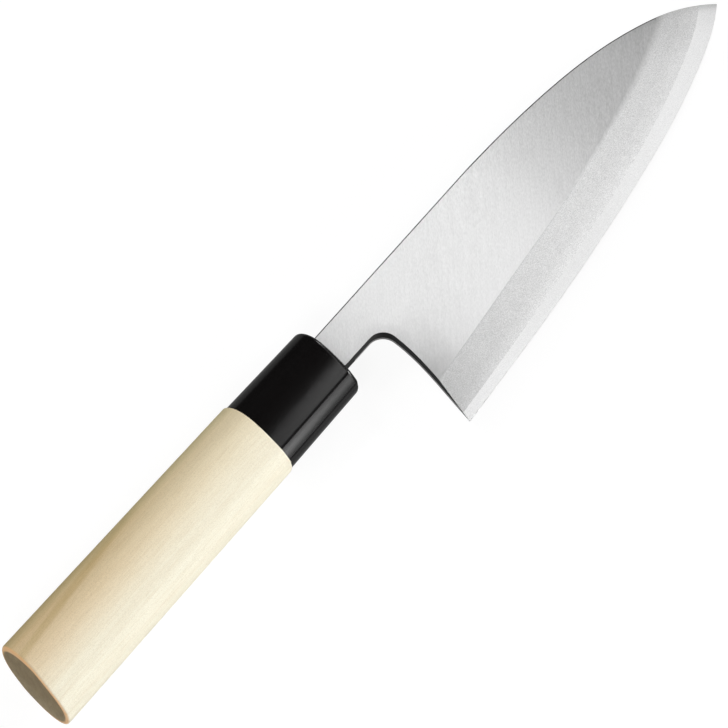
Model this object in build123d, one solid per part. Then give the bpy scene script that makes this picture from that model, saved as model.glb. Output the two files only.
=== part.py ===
from build123d import *
import os

# A single-bevel deba knife, lying on the side of its hollow back with its bevel up.
# X runs from the butt of the handle to the tip, Y from the edge to the spine, Z up.
# While it is modelled, X is 0 at the mouth of the ferrule and Y and Z are 0 on the
# handle's axis. The finished pieces move together so that the origin lies at the
# bottom centre of the whole knife's box.

# Blade, in millimetres
blade_length = 152.2
blade_height = 48.6
heel_gap = 12.1
spine_height = 7.1
spine_rise = 0.55
back_depth = 2.25
spine_thickness = 5.0
spine_rounding = 0.4
ridge_thickness = 4.1
ridge_drop = 34.8
fore_thickness = 3.0
edge_land = 0.25
bevel_width = 15.05

# Neck, heel and tang
neck_height = 11.95
choil_radius = 5.0
heel_set_back = 5.4
neck_inset = 2.5
tang_length = 86.0
tang_height = 7.8
tang_end_height = 4.0
tang_thickness = 3.8
tang_end_thickness = 2.0

# Hard steel on the back, and the hollow ground into it
hard_layer = 1.05
hard_layer_start = 6.0
hollow_depth = 0.35
hollow_rim = 3.6

# Handle
handle_length = 127.0
ferrule_length = 31.3
butt_skew = 0.139
butt_half_height = 13.9
butt_half_width = 11.6
shoulder_half_height = 13.0
shoulder_half_width = 10.95
butt_rounding = 0.9
ridge_rounding = 4.0
facet_rounding = 1.5
shoulder_rounding = 0.5

# Ferrule
ferrule_rear_half_height = 12.5
ferrule_rear_half_width = 10.5
ferrule_front_half_height = 11.9
ferrule_front_half_width = 10.2
ferrule_wall = 1.8
ferrule_front_wall = 4.0
ferrule_rounding = 1.3

# Fits between the pieces
tenon_gap = 0.1
bedding_thickness = 0.5
bedding_end = 2.0
seal_width = 0.6
seal_recess = 0.3

overrun = 3.0

# Outline of the blade, as shares of its length from the heel corner and of its height
# below the spine
spine_shares = [(0.492, -0.003), (0.617, 0.025), (0.742, 0.081), (0.867, 0.190), (0.951, 0.315)]
spine_straight_share = 0.395
edge_shares = [
    (0.000, 1.000), (0.143, 0.966), (0.306, 0.920), (0.472, 0.858), (0.641, 0.777),
    (0.769, 0.697), (0.857, 0.623), (0.946, 0.526), (1.000, 0.435),
]
# Width of the bevel at those points of the edge, as shares of the bevel's named width
bevel_shares = [0.90, 0.94, 0.98, 0.975, 1.02, 1.055, 1.09, 1.13, 1.14]
# A wall belongs to the spine where this share of its outward direction is along Y
spine_facing_share = 0.5
# How far the bevel's surface runs past the edge and past the ridge, in shares of its width
bevel_reach_share = 0.25
# The heel's back face, as shares of its set-back and of its depth below the choil
heel_shares = [(0.213, 0.367), (0.490, 0.599)]
# Hollow of the back: place along the blade, and depth, as shares of length and depth
hollow_shares = [(0.075, 0.30), (0.20, 0.90), (0.40, 1.00), (0.62, 0.95), (0.80, 0.60), (0.90, 0.25)]
# Section of the handle, as shares of its half height and half width. A soft ridge runs
# along the bevel side, low towards the edge, with a narrow facet under it. The first list
# goes from the ridge over the bevel side to the spine and on to the far side's lowest point.
section_top_shares = [
    (-0.65, 0.59), (-0.30, 0.80), (0.08, 0.96), (0.45, 0.97), (0.80, 0.72),
    (0.98, 0.28), (0.97, -0.22), (0.76, -0.66), (0.42, -0.92), (0.00, -1.00),
]
section_low_shares = [
    (0.00, -1.00), (-0.42, -0.92), (-0.75, -0.68), (-0.93, -0.34), (-0.96, 0.00), (-0.92, 0.27),
]
section_facet_shares = [(-0.92, 0.27), (-0.79, 0.44), (-0.65, 0.59)]

tip_x = heel_gap + blade_length
edge_y = spine_height - blade_height
neck_bottom = spine_height - neck_height


def along(share):
    return heel_gap + share * blade_length


def below(share):
    return spine_height - share * blade_height


def flat_height(x, y):
    """Height of the ground flat above the handle's axis."""
    lengthwise = (spine_thickness - fore_thickness) / blade_length
    crosswise = (spine_thickness - ridge_thickness) / ridge_drop
    thickness = spine_thickness - lengthwise * (x - heel_gap) - crosswise * (spine_height - y)
    return thickness - back_depth


def blade_outline():
    """Face of the whole blade and its neck, on the plane of the back."""
    tip = (tip_x, below(edge_shares[-1][1]))
    heel = (heel_gap, edge_y)
    straight_end = (along(spine_straight_share), spine_height + spine_rise)
    choil_x = heel_gap + heel_set_back
    choil_y = neck_bottom - choil_radius
    heel_depth = choil_y - edge_y
    spine_points = [(along(a), below(b)) for a, b in spine_shares]
    edge_points = [(along(a), below(b)) for a, b in reversed(edge_shares[1:-1])]
    heel_points = [
        (choil_x - a * heel_set_back, choil_y - b * heel_depth) for a, b in reversed(heel_shares)
    ]
    edges = [
        Line((-neck_inset, spine_height), straight_end),
        Spline(straight_end, *spine_points, tip),
        Spline(tip, *edge_points, heel),
        Spline(heel, *heel_points, (choil_x, choil_y)),
        CenterArc((choil_x - choil_radius, choil_y), choil_radius, 0, 90),
        Line((choil_x - choil_radius, neck_bottom), (-neck_inset, neck_bottom)),
        Line((-neck_inset, neck_bottom), (-neck_inset, spine_height)),
    ]
    return Pos(0, 0, -back_depth) * make_face(edges)


def bevel_cutter():
    """Everything above the bevel: a ruled surface from the edge to the ridge, raised."""
    points = [Vector(along(a), below(b)) for a, b in edge_shares]
    first = points[0] - (points[1] - points[0]) * 0.5
    last = points[-1] + (points[-1] - points[-2])
    points = [first] + points + [last]
    widths = [bevel_shares[0]] + bevel_shares + [bevel_shares[-1]]
    low, high = [], []
    for place, (point, share) in enumerate(zip(points, widths)):
        before = points[max(place - 1, 0)]
        after = points[min(place + 1, len(points) - 1)]
        inward = (after - before).normalized().rotate(Axis.Z, 90)
        ridge = point + inward * (share * bevel_width)
        bottom = Vector(point.X, point.Y, edge_land - back_depth)
        top = Vector(ridge.X, ridge.Y, flat_height(ridge.X, ridge.Y))
        reach = (top - bottom) * bevel_reach_share
        low.append(bottom - reach)
        high.append(top + reach)
    surface = Face.make_surface_from_curves(Edge.make_spline(low), Edge.make_spline(high))
    return Solid.extrude(surface, Vector(0, 0, spine_thickness * 2))


def outline_limits(outline, x):
    """Lowest and highest Y of the blade's outline at one place along it."""
    across = Line((x, -2 * blade_height, -back_depth), (x, 2 * blade_height, -back_depth))
    limits = (outline & across).bounding_box()
    return limits.min.Y, limits.max.Y


def back_hollow(outline):
    """Shallow hollow of the back, as arcs across the blade inside a flat rim."""
    sections = []
    for place, depth in hollow_shares:
        x = along(place)
        low, high = outline_limits(outline, x)
        low, high = low + hollow_rim, high - hollow_rim
        middle = (low + high) / 2
        rim = -back_depth
        arc = ThreePointArc(
            (x, low, rim), (x, middle, rim + depth * hollow_depth), (x, high, rim)
        )
        under = Polyline((x, high, rim), (x, high, rim - overrun), (x, low, rim - overrun), (x, low, rim))
        sections.append(Face(Wire(arc.edges() + under.edges())))
    return loft(sections)


def tang_block(growth, length, start):
    """The tapered tang, or the space around it, from its start back into the handle."""
    share = (length - start) / tang_length
    end_height = tang_height + (tang_end_height - tang_height) * share
    end_thickness = tang_thickness + (tang_end_thickness - tang_thickness) * share
    middle_y = spine_height - neck_height / 2
    front = Pos(-start, middle_y, 0) * Rot(0, -90, 0) * Rectangle(
        tang_thickness + 2 * growth, tang_height + 2 * growth
    )
    rear = Pos(-length, middle_y, 0) * Rot(0, -90, 0) * Rectangle(
        end_thickness + 2 * growth, end_height + 2 * growth
    )
    return loft([front, rear])


def forged_blade():
    """Blade, neck and tang in one, before it is divided into its two steels."""
    outline = blade_outline()
    body = extrude(outline, 2 * spine_thickness, dir=(0, 0, 1))
    lengthwise = (spine_thickness - fore_thickness) / blade_length
    crosswise = (spine_thickness - ridge_thickness) / ridge_drop
    flat = Plane(
        origin=(heel_gap, spine_height, flat_height(heel_gap, spine_height)),
        z_dir=(lengthwise, -crosswise, 1),
    )
    body = split(body, bisect_by=flat, keep=Keep.BOTTOM)
    spine_walls = [face for face in body.faces() if face.normal_at().Y > spine_facing_share]
    spine_edges = [edge for wall in spine_walls for edge in wall.edges() if edge.length > blade_height]
    body = fillet(spine_edges, spine_rounding)
    body = body - bevel_cutter()
    body = body - back_hollow(outline)
    return body + tang_block(0, tang_length, neck_inset)


def section(x, half_height, half_width):
    """One section of the handle, square to its axis."""
    def curve(shares):
        return [(x, a * half_height, b * half_width) for a, b in shares]

    top, low, facet = curve(section_top_shares), curve(section_low_shares), curve(section_facet_shares)
    far_side = (0, -1, 0)
    over = Edge.make_spline(top, tangents=[section_side(top), far_side])
    under = Edge.make_spline(low, tangents=[far_side, section_side(low[::-1]) * -1])
    return Face(Wire([over, under, Edge.make_spline(facet)]))


def section_side(points):
    """Direction in which a curve leaves its first point."""
    return (Vector(points[1]) - Vector(points[0])).normalized()


def grip_size(x):
    """Half height and half width of the grip at one place along it."""
    share = (-ferrule_length - x) / (handle_length - ferrule_length)
    height = shoulder_half_height + share * (butt_half_height - shoulder_half_height)
    width = shoulder_half_width + share * (butt_half_width - shoulder_half_width)
    return height, width


def tenon(gap):
    """Front of the grip that the ferrule sits on."""
    inset = ferrule_wall + gap
    rear_size = (ferrule_rear_half_height - inset, ferrule_rear_half_width - inset)
    front_size = (ferrule_front_half_height - inset, ferrule_front_half_width - inset)
    return loft([section(-ferrule_length, *rear_size), section(-ferrule_front_wall, *front_size)])


def rim_edges(body, x, reach):
    """The edges of a piece that lie within reach of one place along the handle."""
    return [edge for edge in body.edges() if abs(edge.center().X - x) < reach]


def lengthwise_edges(body):
    """The edges that run along the handle, lowest first."""
    return body.edges().filter_by(lambda edge: edge.bounding_box().size.X > ferrule_length / 2).sort_by(Axis.Z)


def soft_ridges(body):
    """The facet's lower edge and the ridge, each rounded."""
    body = fillet(lengthwise_edges(body)[-2], facet_rounding)
    return fillet(lengthwise_edges(body)[-1], ridge_rounding)


def make_grip():
    butt_x = -handle_length - overrun
    body = loft([section(butt_x, *grip_size(butt_x)), section(-ferrule_length, *grip_size(-ferrule_length))])
    body = soft_ridges(body)
    butt = Plane(origin=(-handle_length, 0, 0), z_dir=(-1, butt_skew, 0))
    body = split(body, bisect_by=butt, keep=Keep.BOTTOM)
    body = fillet(rim_edges(body, -handle_length, overrun), butt_rounding)
    body = fillet(rim_edges(body, -ferrule_length, overrun), shoulder_rounding)
    body = body + tenon(tenon_gap)
    return body - socket()


def socket():
    """Space for the tang and its bedding, from the face of the tenon back."""
    return tang_block(bedding_thickness, tang_length + bedding_end, ferrule_front_wall)


def mouth_slot(growth):
    """Opening of the ferrule round the neck."""
    height = neck_height + spine_rise + 2 * growth
    top = flat_height(0, spine_height)
    thickness = top + back_depth + 2 * growth
    slot = Box(ferrule_front_wall + overrun, height, thickness, align=(Align.MAX, Align.CENTER, Align.MIN))
    return Pos(overrun, (spine_height + spine_rise + neck_bottom) / 2, -back_depth - growth) * slot


def make_ferrule():
    rear = (ferrule_rear_half_height, ferrule_rear_half_width)
    front = (ferrule_front_half_height, ferrule_front_half_width)
    body = soft_ridges(loft([section(-ferrule_length, *rear), section(0, *front)]))
    body = fillet(rim_edges(body, 0, ferrule_rounding), ferrule_rounding)
    body = body - tenon(0)
    return body - mouth_slot(seal_width)


blade = forged_blade()
hard_box = Pos(hard_layer_start, edge_y - overrun, -back_depth - overrun) * Box(
    2 * blade_length, 2 * blade_height, hard_layer + overrun, align=(Align.MIN, Align.MIN, Align.MIN)
)
grip = make_grip()
ferrule = make_ferrule()
pieces = {
    "blade_cladding": blade - hard_box,
    "hard_steel_back": blade & hard_box,
    "grip": grip,
    "ferrule": ferrule,
    "tang_bedding": socket() - blade,
    "mouth_seal": (mouth_slot(seal_width) & Pos(-seal_recess, 0, 0) * Box(
        2 * ferrule_front_wall, blade_height, blade_height, align=(Align.MAX, Align.CENTER, Align.CENTER)
    )) - blade,
}

box = Compound(children=list(pieces.values())).bounding_box()
to_origin = Pos(-box.center().X, -box.center().Y, -box.min.Z)

os.makedirs("parts", exist_ok=True)
for name, piece in pieces.items():
    export_step((to_origin * piece).solid(), f"parts/{name}.step")
    print(name, round(piece.volume, 1), len(piece.solids()), piece.is_valid)
print("knife", box.size, "moved by", to_origin.position)
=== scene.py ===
import math

import bpy
from mathutils import Matrix, Vector

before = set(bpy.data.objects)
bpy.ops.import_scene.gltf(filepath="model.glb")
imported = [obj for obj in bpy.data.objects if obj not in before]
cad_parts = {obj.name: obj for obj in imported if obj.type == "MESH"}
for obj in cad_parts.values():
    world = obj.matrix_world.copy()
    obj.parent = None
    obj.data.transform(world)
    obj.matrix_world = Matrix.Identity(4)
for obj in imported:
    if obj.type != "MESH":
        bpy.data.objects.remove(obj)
bpy.context.view_layer.update()

# texture scales are written in waves per millimetre
MM = 1000.0


# ---------------------------------------------------------------- node helpers
def grey(value):
    return (value, value, value)


class Nodes:
    """Short calls for building one material's node tree."""

    def __init__(self, name):
        self.material = bpy.data.materials.new(name)
        self.material.use_nodes = True
        self.tree = self.material.node_tree
        self.tree.nodes.clear()
        self.output = self.tree.nodes.new("ShaderNodeOutputMaterial")
        self.place = self.tree.nodes.new("ShaderNodeTexCoord").outputs["Object"]
        self.geometry = self.tree.nodes.new("ShaderNodeNewGeometry")

    def link(self, value, socket):
        if hasattr(value, "is_output"):
            self.tree.links.new(value, socket)
        else:
            socket.default_value = value

    def math(self, operation, first, second=0.0, third=0.0):
        node = self.tree.nodes.new("ShaderNodeMath")
        node.operation = operation
        for value, socket in zip((first, second, third), node.inputs):
            self.link(value, socket)
        return node.outputs[0]

    def blend(self, first, share, second):
        """A share of the first value, and the rest of the second."""
        return self.math("MULTIPLY_ADD", first, share, self.math("MULTIPLY", second, 1.0 - share))

    def vector(self, operation, first, second=(0.0, 0.0, 0.0)):
        node = self.tree.nodes.new("ShaderNodeVectorMath")
        node.operation = operation
        self.link(first, node.inputs[0])
        self.link(second, node.inputs[1])
        return node.outputs["Value" if operation == "LENGTH" else "Vector"]

    def split(self, value):
        node = self.tree.nodes.new("ShaderNodeSeparateXYZ")
        self.link(value, node.inputs[0])
        return node.outputs

    def join(self, x, y, z):
        node = self.tree.nodes.new("ShaderNodeCombineXYZ")
        for value, socket in zip((x, y, z), node.inputs):
            self.link(value, socket)
        return node.outputs[0]

    def mapped(self, scale=(1, 1, 1), turn=(0, 0, 0), shift=(0, 0, 0), place=None):
        node = self.tree.nodes.new("ShaderNodeMapping")
        self.link(place or self.place, node.inputs["Vector"])
        node.inputs["Scale"].default_value = scale
        node.inputs["Rotation"].default_value = turn
        node.inputs["Location"].default_value = shift
        return node.outputs[0]

    def noise(self, waves, detail, rough=0.5, warp=0.0, shift=(0, 0, 0), place=None):
        """Noise with so many waves per millimetre along x, y and z."""
        scale = [MM * count for count in waves]
        node = self.tree.nodes.new("ShaderNodeTexNoise")
        self.link(self.mapped(scale=scale, shift=shift, place=place), node.inputs["Vector"])
        node.inputs["Scale"].default_value = 1.0
        node.inputs["Detail"].default_value = detail
        node.inputs["Roughness"].default_value = rough
        node.inputs["Distortion"].default_value = warp
        return node.outputs[0]

    def span(self, value, low, high, start=0.0, end=1.0, smooth=False):
        """What goes from start to end while the value goes from low to high."""
        node = self.tree.nodes.new("ShaderNodeMapRange")
        if smooth:
            node.interpolation_type = "SMOOTHSTEP"
        self.link(value, node.inputs["Value"])
        names = ("From Min", "From Max", "To Min", "To Max")
        for name, number in zip(names, (low, high, start, end)):
            self.link(number, node.inputs[name])
        return node.outputs[0]

    def ramp(self, value, levels, tones):
        """A colour between two tones, which the value reaches at two levels."""
        node = self.tree.nodes.new("ShaderNodeValToRGB")
        self.link(value, node.inputs[0])
        for point, level, tone in zip(node.color_ramp.elements, levels, tones):
            point.position = level
            point.color = (*(grey(tone) if isinstance(tone, float) else tone), 1.0)
        return node.outputs[0]

    def mix(self, share, first, second, blend="MIX"):
        node = self.tree.nodes.new("ShaderNodeMix")
        node.data_type = "RGBA"
        node.blend_type = blend
        self.link(share, node.inputs[0])
        for value, socket in ((first, node.inputs[6]), (second, node.inputs[7])):
            if isinstance(value, float):
                value = grey(value)
            if isinstance(value, tuple):
                value = (*value, 1.0)
            self.link(value, socket)
        return node.outputs[2]

    def times(self, tone, *shades):
        """A tone multiplied by one shade after the other."""
        for shade in shades:
            tone = self.mix(1.0, tone, shade, "MULTIPLY")
        return tone

    def curve(self, value, points):
        node = self.tree.nodes.new("ShaderNodeFloatCurve")
        self.link(value, node.inputs["Value"])
        line = node.mapping.curves[0]
        while len(line.points) < len(points):
            line.points.new(0.5, 0.5)
        for point, (x, y) in zip(line.points, points):
            point.location = (x, y)
        node.mapping.update()
        return node.outputs[0]

    def bump(self, height, depth, strength):
        node = self.tree.nodes.new("ShaderNodeBump")
        node.inputs["Strength"].default_value = strength
        node.inputs["Distance"].default_value = depth
        self.link(height, node.inputs["Height"])
        return node.outputs[0]

    def surface(self, **values):
        shader = self.tree.nodes.new("ShaderNodeBsdfPrincipled")
        for name, value in values.items():
            self.link(value, shader.inputs[name.replace("_", " ")])
        self.tree.links.new(shader.outputs[0], self.output.inputs["Surface"])


# ---------------------------------------------------------------- materials
# the levels of a noise between which a ramp changes its tone
USUAL = (0.3, 0.7)
SATIN = (0.28, 0.72)
STREAKS = (0.42, 0.70)
WHITE = (1.0, 1.0, 1.0)

# grinding lines cross the blade at an angle
LINE_TURN = math.radians(47.8)
ACROSS_LINES = (math.cos(LINE_TURN), -math.sin(LINE_TURN), 0.0)
FINE_LINES = (2.9, 1.0, 1.0)
LONG_LINES = (1.8, 0.09, 1.0)
LONG_SHIFT = (7.0, 7.0, 0)
EDGE_LINES = (2.6, 0.1, 1.0)
LINE_DETAIL = 4.0
LINE_ROUGH = 0.6

# finish of the steels: waves per millimetre, roughness and relief
GRAIN_WAVES = 3.6
CLOUD_WAVES = 0.03
MOTTLE_WAVES = 0.45
DARK_WAVES = 0.5
GROUND_ROUGHNESS = 0.44
GROUND_SPREAD = 0.10
BLASTED_ROUGHNESS = 0.58
ANISOTROPY = 0.8
STEEL_RELIEF = 0.00002
CLADDING_STRENGTH = 0.3
EDGE_STRENGTH = 0.25

# tones of the steels, from the noise's low to its high
FINE_SATIN = (0.80, 1.0)
COARSE_SATIN = (0.68, 1.12)
CLOUD_TONE = 0.92
CLOUD_SHARE = (0.35, 0.65, 0.0, 0.3)
BLASTED = (0.575, 0.905)
# painted shade: near-black metal on the spine's rounding, the neck's underside and the heel's
# back face
DARK_SHADE = (0.05, 0.10)
BACK_FACE_SHADE = (0.008, 0.022)
SPINE_WALL = (0.38, 0.56)
EDGE_BAND = (0.81, 0.98)

# parts of the normal at which one finish gives way to the next
FLAT_FACING = (0.80, 0.90)
ROUNDING = (0.04, 0.12, 1.0, 0.0)
BEVEL_LEAN = (0.105, 0.125)
WALL_SIDE = (0.3, 0.6)
WALL_RISE = (0.30, 0.12)
BACK_FACING = (-0.45, -0.85)

# painted shade of the upper flat along the blade, from the neck to the tip
BLADE_SPAN = (-0.018, 0.147)
FLAT_SHADE_TONES = ((0.0, 0.60), (0.027, 0.74), (0.048, 0.81), (0.092, 0.90), (0.139, 0.96),
              (0.212, 0.98), (0.397, 1.0), (0.536, 0.835), (0.676, 0.67), (0.815, 0.60),
              (1.0, 0.57))
# where along the blade its grinding lines grow stronger
COARSER = (0.03, 0.095)
# painted shade of flat and bevel with the distance from the heel's back face
HEEL_REACH = 0.024
HEEL_SHADE_TONES = ((0.0, 0.60), (0.17, 0.68), (0.33, 0.765), (0.46, 0.875), (0.62, 0.925),
              (0.77, 0.96), (1.0, 1.0))
HEEL_FADE = (0.008, -0.011, 0.05, 1.0)
BEVEL_REACH = 0.075
BEVEL_SHADE_TONES = ((0.0, 0.71), (0.05, 0.74), (0.15, 0.80), (0.2, 0.835), (0.3, 0.865),
               (0.39, 0.90), (0.6, 0.96), (1.0, 1.0))
# painted shade of the band along the edge, from the heel to the tip
BAND_SPAN = (-0.006, 0.146)
BAND_SHADE_TONES = ((0.0, 0.86), (0.1, 0.90), (0.25, 0.895), (0.45, 0.91), (0.58, 0.95),
              (0.85, 1.0), (0.94, 0.97), (1.0, 0.88))
# the heel's back face: its top, how far it reaches down, its place and its slant
HEEL_TOP = 0.00397
HEEL_DEPTH = 0.03165
HEEL_FACE = -0.00028
HEEL_SLANT = -0.0054
HEEL_BEND = 1.5
# the notch's corner, and the painted shade round it
NOTCH_CORNER = (-0.0053, 0.0039, 0.0)
NOTCH_RADIUS = 0.005
NOTCH_SHADE = (0.0, 0.004, 0.88, 1.0)
# the upper flat's plane: its height at the origin, and its falls lengthwise and across
FLAT_HEIGHT = 0.0137282
FLAT_FALL = 0.01314
FLAT_DROP = 0.02586
# the bevel below that plane: paler low down, a painted shade line at the ridge, and how soon it
# begins
BEVEL_PALER = (0.0113, 0.0104, 1.0, 1.10)
RIDGE_SHADE_LINE = (0.00002, 0.00012, 0.85, 1.0)
RIDGE_WIDTH = (0.070, 0.110, 0.00004, 0.00032)
# the spine's line near the tip, as shares of its span and of its height
TIP_SPAN = (0.105, 0.1465)
SPINE_HEIGHT = 0.02
SPINE_LINE = ((0.0, 0.876), (0.24, 0.768), (0.361, 0.698), (0.482, 0.618), (0.602, 0.524),
              (0.723, 0.41), (0.843, 0.269), (0.916, 0.165), (0.964, 0.084), (1.0, 0.0))
# painted shade with the distance below that line, for the cladding and for the hard steel
TIP_REACH = 0.017
TIP_START = (0.112, 0.128)
CLADDING_TIP_SHADE = ((0.0, 0.79), (0.10, 0.83), (0.147, 0.875), (0.2, 0.885), (0.29, 0.90),
                      (0.53, 0.915), (0.65, 0.935), (0.82, 0.97), (1.0, 1.0))
EDGE_TIP_SHADE = ((0.0, 0.70), (0.11, 0.85), (0.2, 0.98), (0.3, 1.0), (1.0, 1.0))

# the wood's textures, in waves per millimetre
WAVE_WAVES = (0.010, 0.06, 0.06)
RING_WAVES = (0.008, 0.45, 0.45)
FIBRE_WAVES = (0.12, 2.6, 2.6)
PORE_WAVES = (3.6, 4.4, 4.4)
SPOT_WAVES = (0.3, 0.5, 0.25)
# the wood's colours, and the tints that multiply them; the tan and the sawn end's tones are
# partly painted shade, the spine's tint is painted shade
WOOD_PALE = (0.97, 0.925, 0.76)
WOOD_TAN_AND_SHADE = (0.74, 0.57, 0.28)
LAYER_TONE = (0.55, 0.40, 0.16)
RING_TONE = (0.72, 0.58, 0.38)
RIM_TONE = (0.88, 0.52, 0.24)
END_GRAIN_AND_SHADE = ((0.215, 0.155, 0.076), (0.315, 0.235, 0.122))
WARM_TINT = (0.94, 0.87, 0.83)
FIBRE_TINT = (0.935, 0.91, 0.87)
PORE_TINT = (0.84, 0.83, 0.80)
SPINE_SHADE = (0.74, 0.79, 0.71)
END_TINT = (1.38, 1.50, 1.70)
# where they lie: across the grip, and along it
WAVE_SWING = (0.006, -0.003)
TAN_ACROSS = (0.006, 0.027)
TAN_ALONG = (-0.03, -0.11, 0.65, 1.0)
WARM_ACROSS = (0.006, 0.016)
WARM_ALONG = (-0.04, -0.14)
SPINE_ACROSS = (0.0225, 0.0262)
RING_SHARE = (0.46, 0.62, 0.0, 0.14)
# the darker growth layer: where it starts, its slope, its waviness and its two sides
LAYER_START = 0.1387
LAYER_SLOPE = -0.106
LAYER_SWING = 0.001
LAYER_NEAR = (0.0186, 0.0200)
LAYER_FAR = (0.0222, 0.0208)
LAYER_ALONG = (-0.085, -0.105, 0.0, 0.5)
# the sawn end: its rim, its lighter lower part and its inner face
RIM_FACING = (-0.35, -0.75, 0.0, 0.9)
END_LIGHTER = (0.001, 0.011, 1.0, 0.0)
END_FACING = (-0.90, -0.985)
END_OVAL = (0.95, 0.90)
# middle of the sawn end, and what brings its oval outline to a circle of radius one
BUTT_CENTRE = (0.0, 0.0141, 0.0115)
BUTT_SHRINK = (0.0, 1 / 0.0136, 1 / 0.0115)
WOOD_ROUGHNESS = (0.3, 0.7, 0.50, 0.62)
WOOD_RELIEF = 0.00005
WOOD_STRENGTH = 0.3

# the ferrule's plastic
PLASTIC_WAVES = 2.6
RUB_WAVES = (0.08, 2.5, 2.5)
PLASTIC_TONES = ((0.0010, 0.0007, 0.0007), (0.0064, 0.0056, 0.0056))
PLASTIC_ROUGHNESS = 0.15
PLASTIC_SPREAD = 0.08
PLASTIC_SHINE = 0.35
PLASTIC_RELIEF = 0.00001
PLASTIC_STRENGTH = 0.1

# the set fillers round the tang and the neck
PIT_WAVES = 2.0
RESIN_ROUGHNESS = 0.6
RESIN_RELIEF = 0.00008
RESIN_STRENGTH = 0.5
BEDDING_TONES = ((0.30, 0.22, 0.12), (0.42, 0.32, 0.19))
SEAL_TONES = ((0.010, 0.009, 0.009), (0.022, 0.020, 0.020))


def ground_lines(n, waves, shift=(0, 0, 0)):
    """Fine grinding lines that run across the blade."""
    turned = n.mapped(turn=(0, 0, LINE_TURN))
    return n.noise(waves, LINE_DETAIL, LINE_ROUGH, shift=shift, place=turned)


def tip_shade(n, x, y, tones):
    """Painted shade under the spine close to the tip."""
    line = n.math("MULTIPLY", n.curve(n.span(x, *TIP_SPAN), SPINE_LINE), SPINE_HEIGHT)
    tone = n.curve(n.span(n.math("SUBTRACT", line, y), 0.0, TIP_REACH), tones)
    return n.mix(n.span(x, *TIP_START), 1.0, tone)


def steel_surface(n, tone, rough, height, strength):
    """Metal whose reflections are drawn out across the grinding lines."""
    n.surface(Base_Color=tone, Metallic=1.0, Roughness=rough, Anisotropic=ANISOTROPY,
              Tangent=n.join(*ACROSS_LINES), Normal=n.bump(height, STEEL_RELIEF, strength))


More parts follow.
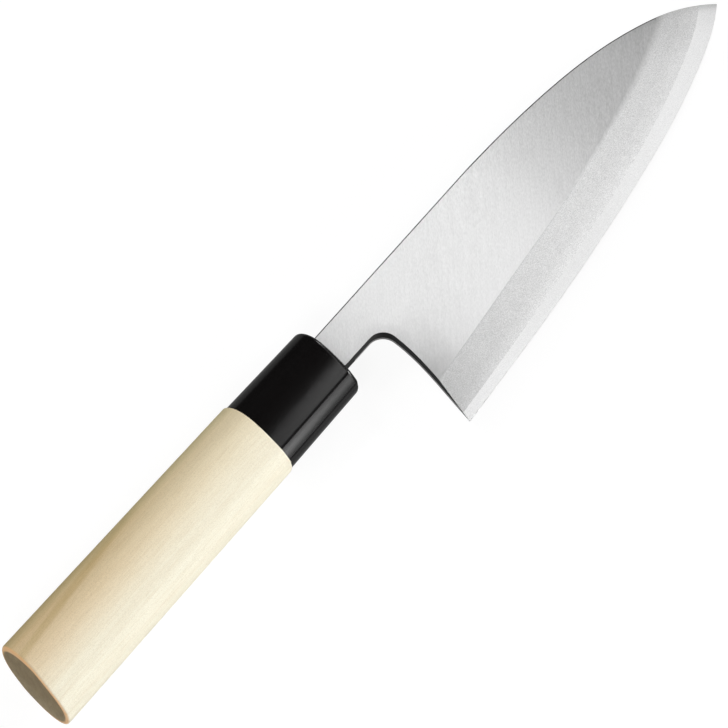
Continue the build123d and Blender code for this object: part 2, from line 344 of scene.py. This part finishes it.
def soft_steel():
    """Iron cladding: satin ground upper flat and blasted bevel with painted shade, and near-black
    painted shade on the spine's rounding and the choil.
    """
    n = Nodes("soft_steel")
    x, y, z = n.split(n.place)
    facing = n.split(n.geometry.outputs["True Normal"])
    rounded = n.split(n.geometry.outputs["Normal"])
    lean = n.math("MULTIPLY", facing[1], -1.0)
    flat = n.span(facing[2], *FLAT_FACING)
    undarkened = n.math("MULTIPLY", flat, n.span(rounded[1], *ROUNDING))
    bevel = n.math("MULTIPLY", n.span(lean, *BEVEL_LEAN), flat)

    # how far a place lies below the flat's plane, and how far from the heel's back face
    across = n.math("MULTIPLY_ADD", y, FLAT_DROP, FLAT_HEIGHT)
    plane = n.math("MULTIPLY_ADD", x, -FLAT_FALL, across)
    below = n.math("SUBTRACT", plane, z)
    depth = n.math("POWER", n.span(y, HEEL_TOP, HEEL_TOP - HEEL_DEPTH), HEEL_BEND)
    behind = n.math("SUBTRACT", x, n.math("MULTIPLY_ADD", depth, HEEL_SLANT, HEEL_FACE))

    # satin of the upper flat, with painted shade at the neck, the heel and the notch's corner and
    # towards the tip
    satin = n.blend(ground_lines(n, FINE_LINES), 0.7, ground_lines(n, LONG_LINES, LONG_SHIFT))
    cloud = n.noise(grey(CLOUD_WAVES), 3.0)
    flat_shade = n.curve(n.span(x, *BLADE_SPAN), FLAT_SHADE_TONES)
    heel_shade = n.curve(n.span(behind, 0.0, HEEL_REACH), HEEL_SHADE_TONES)
    heel_shade = n.mix(n.span(y, *HEEL_FADE), 1.0, heel_shade)
    from_corner = n.vector("SUBTRACT", n.join(x, y, 0.0), NOTCH_CORNER)
    corner = n.math("SUBTRACT", n.vector("LENGTH", from_corner), NOTCH_RADIUS)
    notch_shade = n.span(corner, *NOTCH_SHADE)
    fine = n.ramp(satin, SATIN, FINE_SATIN)
    coarse = n.ramp(satin, SATIN, COARSE_SATIN)
    flat_tone = n.mix(n.span(x, *COARSER), fine, coarse)
    flat_tone = n.mix(n.span(cloud, *CLOUD_SHARE), flat_tone, CLOUD_TONE)
    flat_tone = n.times(flat_tone, flat_shade, heel_shade, notch_shade)

    # blasted bevel, paler towards the hard steel, with painted shade near the heel and a painted
    # shade line along the ridge
    grain = n.noise(grey(GRAIN_WAVES), 2.0, 0.6)
    mottle = n.noise(grey(MOTTLE_WAVES), 5.0, 0.65)
    bevel_tone = n.ramp(n.blend(mottle, 0.15, grain), USUAL, BLASTED)
    bevel_shade = n.curve(n.span(behind, 0.0, BEVEL_REACH), BEVEL_SHADE_TONES)
    paler = n.span(z, *BEVEL_PALER)
    ridge_shade = n.span(below, *RIDGE_SHADE_LINE)
    bevel_tone = n.times(bevel_tone, bevel_shade, paler, ridge_shade)
    begun = n.span(below, 0.0, n.span(x, *RIDGE_WIDTH))
    tone = n.mix(n.math("MULTIPLY", bevel, begun), flat_tone, bevel_tone)
    tone = n.times(tone, tip_shade(n, x, y, CLADDING_TIP_SHADE))

    # painted shade: near-black metal on the spine's rounding, the neck's underside and the heel's
    # back face; a mid grey spine wall
    scale = n.noise(grey(DARK_WAVES), 5.0, 0.7)
    wall = n.math("MULTIPLY", n.span(facing[1], *WALL_SIDE), n.span(facing[2], *WALL_RISE))
    dark = n.mix(wall, n.ramp(scale, USUAL, DARK_SHADE), n.ramp(scale, USUAL, SPINE_WALL))
    back_face_shade = n.ramp(scale, USUAL, BACK_FACE_SHADE)
    dark = n.mix(n.span(facing[0], *BACK_FACING), dark, back_face_shade)
    tone = n.mix(undarkened, dark, tone)
    rough = n.math("MULTIPLY_ADD", satin, GROUND_SPREAD, GROUND_ROUGHNESS)
    rough = n.mix(bevel, rough, BLASTED_ROUGHNESS)
    steel_surface(n, tone, rough, n.mix(bevel, satin, grain), CLADDING_STRENGTH)
    return n.material


def hard_steel():
    """Hard core steel: bright band at the edge and the hollow-ground back."""
    n = Nodes("hard_steel")
    place = n.split(n.place)
    x, y = place[0], place[1]
    grain = n.noise(grey(GRAIN_WAVES), 2.0, 0.6)
    tone = n.ramp(grain, USUAL, EDGE_BAND)
    # painted shade along the band and under the spine near the tip
    band_shade = n.curve(n.span(x, *BAND_SPAN), BAND_SHADE_TONES)
    tone = n.times(tone, band_shade, tip_shade(n, x, y, EDGE_TIP_SHADE))
    height = n.blend(ground_lines(n, EDGE_LINES), 0.7, grain)
    steel_surface(n, tone, BLASTED_ROUGHNESS, height, EDGE_STRENGTH)
    return n.material


def grip_wood():
    """Pale fine-grained wood with a browner band along the spine side, partly painted shade, and
    painted shade at the spine-side edge and on the sawn end.
    """
    n = Nodes("grip_wood")
    x, y, z = n.split(n.place)
    facing = n.split(n.geometry.outputs["True Normal"])
    wave = n.noise(WAVE_WAVES, 3.0)
    rings = n.noise(RING_WAVES, 4.0, 0.6, 0.3)
    fibre = n.noise(FIBRE_WAVES, 3.0, 0.7)
    pores = n.noise(PORE_WAVES, 2.0, 0.6)
    side = n.math("ADD", y, n.math("MULTIPLY_ADD", wave, *WAVE_SWING))
    # browner spine side: the wood's own tan, partly painted shade
    tan_and_shade = n.math("MULTIPLY", n.span(side, *TAN_ACROSS), n.span(x, *TAN_ALONG))
    tone = n.mix(tan_and_shade, WOOD_PALE, WOOD_TAN_AND_SHADE)
    # warmer towards the butt on the spine half
    warm = n.math("MULTIPLY", n.span(side, *WARM_ACROSS), n.span(x, *WARM_ALONG))
    tone = n.mix(warm, tone, n.times(tone, WARM_TINT))
    # a darker growth layer that leaves the spine side at a small angle
    wavy = n.math("MULTIPLY_ADD", wave, LAYER_SWING, y)
    layer = n.math("MULTIPLY_ADD", n.math("ADD", x, LAYER_START), LAYER_SLOPE, wavy)
    streak = n.math("MULTIPLY", n.span(layer, *LAYER_NEAR, smooth=True),
                    n.span(layer, *LAYER_FAR, smooth=True))
    streak = n.math("MULTIPLY", streak, n.span(x, *LAYER_ALONG))
    tone = n.mix(streak, tone, LAYER_TONE)
    tone = n.mix(n.span(rings, *RING_SHARE), tone, RING_TONE)
    tone = n.times(tone, n.ramp(fibre, STREAKS, (WHITE, FIBRE_TINT)),
                   n.ramp(pores, STREAKS, (WHITE, PORE_TINT)))
    # painted shade along the spine-side edge of the grip
    tone = n.mix(n.span(y, *SPINE_ACROSS), tone, n.times(tone, SPINE_SHADE))
    # sawn end of the grip: darker end grain with painted shade, lighter low down, with a
    # burnished rim
    tone = n.mix(n.span(facing[0], *RIM_FACING), tone, RIM_TONE)
    end = n.ramp(n.noise(SPOT_WAVES, 4.0, 0.65), USUAL, END_GRAIN_AND_SHADE)
    end = n.mix(n.span(z, *END_LIGHTER), end, n.times(end, END_TINT))
    off_centre = n.vector("SUBTRACT", n.join(0.0, y, z), BUTT_CENTRE)
    out = n.vector("LENGTH", n.vector("MULTIPLY", off_centre, BUTT_SHRINK))
    inner = n.math("MULTIPLY", n.span(facing[0], *END_FACING), n.span(out, *END_OVAL))
    tone = n.mix(inner, tone, end)
    n.surface(Base_Color=tone, Roughness=n.span(fibre, *WOOD_ROUGHNESS),
              Normal=n.bump(n.blend(fibre, 0.6, pores), WOOD_RELIEF, WOOD_STRENGTH))
    return n.material


def ferrule_plastic():
    """Black moulded collar with a satin gloss."""
    n = Nodes("ferrule_plastic")
    fine = n.noise(grey(PLASTIC_WAVES), 3.0, 0.6)
    rub = n.noise(RUB_WAVES, 3.0, 0.6)
    rough = n.math("MULTIPLY_ADD", rub, PLASTIC_SPREAD, PLASTIC_ROUGHNESS)
    n.surface(Base_Color=n.ramp(fine, USUAL, PLASTIC_TONES), Roughness=rough,
              Specular_IOR_Level=PLASTIC_SHINE,
              Normal=n.bump(fine, PLASTIC_RELIEF, PLASTIC_STRENGTH))
    return n.material


def resin(name, tones):
    """Set filler with small pits."""
    n = Nodes(name)
    pits = n.noise(grey(PIT_WAVES), 4.0, 0.6)
    n.surface(Base_Color=n.ramp(pits, USUAL, tones), Roughness=RESIN_ROUGHNESS,
              Normal=n.bump(pits, RESIN_RELIEF, RESIN_STRENGTH))
    return n.material


finishes = {
    "blade_cladding": soft_steel(),
    "hard_steel_back": hard_steel(),
    "grip": grip_wood(),
    "ferrule": ferrule_plastic(),
    "tang_bedding": resin("bedding_resin", BEDDING_TONES),
    "mouth_seal": resin("seal_resin", SEAL_TONES),
}
for name, material in finishes.items():
    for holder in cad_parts[name].material_slots:
        holder.material = material


# ---------------------------------------------------------------- floor
# glow of the paper where it is seen and where it is mirrored, and how much paper that replaces
SEEN_GLOW, SEEN_LESS = 0.90, 0.86
MIRRORED_GLOW, MIRRORED_LESS = 0.2, 0.9
FLOOR_HALF = 6.0
FLOOR_HEIGHT = -0.0002
FLOOR_CORNERS = ((-1, -1), (1, -1), (1, 1), (-1, 1))


def floor_paper():
    """White paper sweep: plain white behind the object, with its soft shadow."""
    n = Nodes("floor_paper")
    path = n.tree.nodes.new("ShaderNodeLightPath").outputs
    seen = path["Is Camera Ray"]
    mirrored = n.math("MAXIMUM", path["Is Glossy Ray"], path["Is Transmission Ray"])
    glow_share = n.math("MAXIMUM", n.math("MULTIPLY", seen, SEEN_GLOW),
                        n.math("MULTIPLY", mirrored, MIRRORED_GLOW))
    less = n.math("MULTIPLY_ADD", seen, SEEN_LESS, n.math("MULTIPLY", mirrored, MIRRORED_LESS))
    paper_share = n.math("SUBTRACT", 1.0, less)
    paper = n.tree.nodes.new("ShaderNodeBsdfDiffuse")
    n.link(n.join(paper_share, paper_share, paper_share), paper.inputs["Color"])
    glow = n.tree.nodes.new("ShaderNodeEmission")
    glow.inputs["Color"].default_value = (*WHITE, 1.0)
    n.link(glow_share, glow.inputs["Strength"])
    both = n.tree.nodes.new("ShaderNodeAddShader")
    n.tree.links.new(paper.outputs[0], both.inputs[0])
    n.tree.links.new(glow.outputs[0], both.inputs[1])
    n.tree.links.new(both.outputs[0], n.output.inputs["Surface"])
    return n.material


mesh = bpy.data.meshes.new("floor")
mesh.from_pydata([(FLOOR_HALF * x, FLOOR_HALF * y, 0) for x, y in FLOOR_CORNERS], [],
                 [(0, 1, 2, 3)])
floor = bpy.data.objects.new("floor", mesh)
bpy.context.scene.collection.objects.link(floor)
floor.data.materials.append(floor_paper())
floor.location.z = FLOOR_HEIGHT


# ---------------------------------------------------------------- light
def softbox(name, place, aim, size, power):
    """A rectangular area lamp at a place, turned to face a point."""
    lamp = bpy.data.lights.new(name, "AREA")
    lamp.shape = "RECTANGLE"
    lamp.size, lamp.size_y = size
    lamp.energy = power
    holder = bpy.data.objects.new(name, lamp)
    bpy.context.scene.collection.objects.link(holder)
    holder.location = place
    away = Vector(place) - Vector(aim)
    holder.rotation_mode = "QUATERNION"
    holder.rotation_quaternion = away.to_track_quat("Z", "Y")


CENTRE = (0.0, 0.0, 0.0)
WIDE = (0.50, 0.22)
BROAD = (0.45, 0.35)
SOFTBOXES = (
    ("edge_low", (1.138, -0.955, 0.209), WIDE, 0.9),
    ("edge_lower_middle", (1.115, -0.936, 0.363), WIDE, 10.95),
    ("front_low", (0.253, -1.433, 0.363), WIDE, 2.2),
    ("front_low_right", (0.728, -1.260, 0.363), WIDE, 0.72),
    ("front_middle", (0.245, -1.388, 0.513), WIDE, 2.36),
    ("front_high_right", (0.682, -0.813, 1.061), WIDE, 1.15),
    ("tip_front_high", (0.95, -0.40, 1.10), BROAD, 0.72),
    ("tip_high", (1.15, 0.10, 0.95), BROAD, 1.95),
    ("tip_back", (1.255, 0.336, 0.750), BROAD, 3.8),
    ("back_high", (-0.153, 0.868, 1.214), BROAD, 3.95),
    ("back_low", (-0.22, 1.21, 0.86), BROAD, 3.55),
    ("handle_fill", (-1.000, -0.360, 1.060), BROAD, 8.0),
)
for name, place, size, power in SOFTBOXES:
    softbox(name, place, CENTRE, size, power)

# strength of the world, and what mirrored rays see added on the butt's side
WORLD_LEVEL = 0.04
WORLD_SIDE = {"From Min": 0.05, "From Max": -0.35, "To Min": 0.0, "To Max": 0.45}

world = bpy.data.worlds.new("studio")
world.use_nodes = True
tree = world.node_tree


def world_math(operation, *values):
    """A sum in the world's node tree."""
    node = tree.nodes.new("ShaderNodeMath")
    node.operation = operation
    for value, socket in zip(values, node.inputs):
        if hasattr(value, "is_output"):
            tree.links.new(value, socket)
        else:
            socket.default_value = value
    return node.outputs[0]


paths = tree.nodes.new("ShaderNodeLightPath").outputs
ways = tree.nodes.new("ShaderNodeTexCoord")
parts = tree.nodes.new("ShaderNodeSeparateXYZ")
tree.links.new(ways.outputs["Generated"], parts.inputs[0])
wall = tree.nodes.new("ShaderNodeMapRange")
tree.links.new(parts.outputs[0], wall.inputs["Value"])
for name, number in WORLD_SIDE.items():
    wall.inputs[name].default_value = number
mirrored = world_math("MAXIMUM", paths["Is Glossy Ray"], paths["Is Transmission Ray"])
pale = world_math("MULTIPLY_ADD", mirrored, wall.outputs[0], WORLD_LEVEL)
strength = world_math("MAXIMUM", pale, paths["Is Camera Ray"])
background = tree.nodes["Background"]
background.inputs["Color"].default_value = (*WHITE, 1.0)
tree.links.new(strength, background.inputs["Strength"])
bpy.context.scene.world = world


# ---------------------------------------------------------------- camera
CAMERA_AT = Vector((-0.4610651, -0.3024511, 1.1842322))
LOOKS_AT = Vector((-0.0117448, 0.0058234, 0.0115938))
CAMERA_ROLL = -0.9293
FOCAL_PIXELS = 4581.3971
FRAME_PIXELS = 728
SENSOR = 36.0
CLIP = (0.05, 50.0)

forward = (LOOKS_AT - CAMERA_AT).normalized()
level = forward.cross(Vector((0, 1, 0))).normalized()
upright = level.cross(forward)
right = math.cos(CAMERA_ROLL) * level + math.sin(CAMERA_ROLL) * upright
above = -math.sin(CAMERA_ROLL) * level + math.cos(CAMERA_ROLL) * upright
lens = bpy.data.cameras.new("camera")
lens.sensor_width = SENSOR
lens.lens = FOCAL_PIXELS / FRAME_PIXELS * SENSOR
lens.clip_start, lens.clip_end = CLIP
camera = bpy.data.objects.new("camera", lens)
bpy.context.scene.collection.objects.link(camera)
turn = Matrix((right, above, -forward)).transposed().to_4x4()
camera.matrix_world = Matrix.Translation(CAMERA_AT) @ turn
bpy.context.scene.camera = camera

bpy.context.scene.view_settings.view_transform = "Standard"

bpy.context.view_layer.update()
